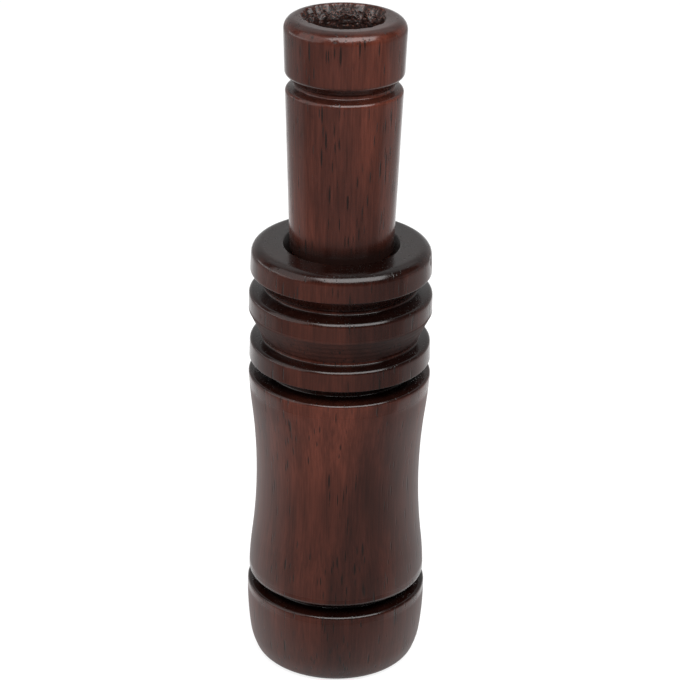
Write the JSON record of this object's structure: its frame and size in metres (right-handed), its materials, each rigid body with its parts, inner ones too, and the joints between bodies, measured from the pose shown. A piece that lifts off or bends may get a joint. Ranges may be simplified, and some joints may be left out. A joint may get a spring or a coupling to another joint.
{
  "type": "bird call",
  "caption": "Turned wooden bird call: a waisted, ringed barrel with a mouth bore, and a tapered stopper that pulls out and carries the tone board, film reeds and cork wedge.",
  "frame": {"origin": "centre of the mouth end's flat rim, on which the call stands", "axes": "+Z along the call towards the exhaust hole, -Y the side that the reeds face"},
  "size_m": [0.035, 0.035, 0.1304],
  "materials": {
    "barrel_wood": "dark stained, lacquered",
    "stopper_wood": "dark stained, lacquered",
    "seal_rubber": "matt",
    "board_plastic": "moulded, satin",
    "reed_film": "frosted film",
    "cork": "cut cork"
  },
  "bodies": {
    "barrel": {"barrel": "barrel_wood"},
    "seal_rings": {"lower_o_ring": "seal_rubber", "upper_o_ring": "seal_rubber"},
    "stopper": {"stopper": "stopper_wood", "tone_board": "board_plastic"},
    "long_reed": {"long_reed": "reed_film"},
    "short_reed": {"short_reed": "reed_film"},
    "cork_wedge": {"cork_wedge": "cork"}
  },
  "joints": [
    {"name": "stopper_pull", "type": "slide", "parent": "barrel", "child": "seal_rings", "axis": [0, 0, 1], "range_m": [0, 0.075]},
    {"name": "stopper_turn", "type": "hinge", "parent": "seal_rings", "child": "stopper", "pos_m": [0, 0, 0.074], "axis": [0, 0, 1], "continuous": true},
    {"name": "long_reed_flex", "type": "hinge", "parent": "stopper", "child": "long_reed", "pos_m": [0, -0.00176, 0.0464], "axis": [1, 0, 0], "range_deg": [0, 1.8], "stiffness_Nm_per_rad": 0.01},
    {"name": "short_reed_flex", "type": "hinge", "parent": "stopper", "child": "short_reed", "pos_m": [0, -0.00176, 0.0464], "axis": [1, 0, 0], "range_deg": [0, 1.8], "stiffness_Nm_per_rad": 0.01},
    {"name": "wedge_pull", "type": "slide", "parent": "stopper", "child": "cork_wedge", "axis": [0, 0, -1], "range_m": [0, 0.014]}
  ],
  "couplings": [
    {"joint": "short_reed_flex", "follows": "long_reed_flex", "ratio": 1}
  ]
}
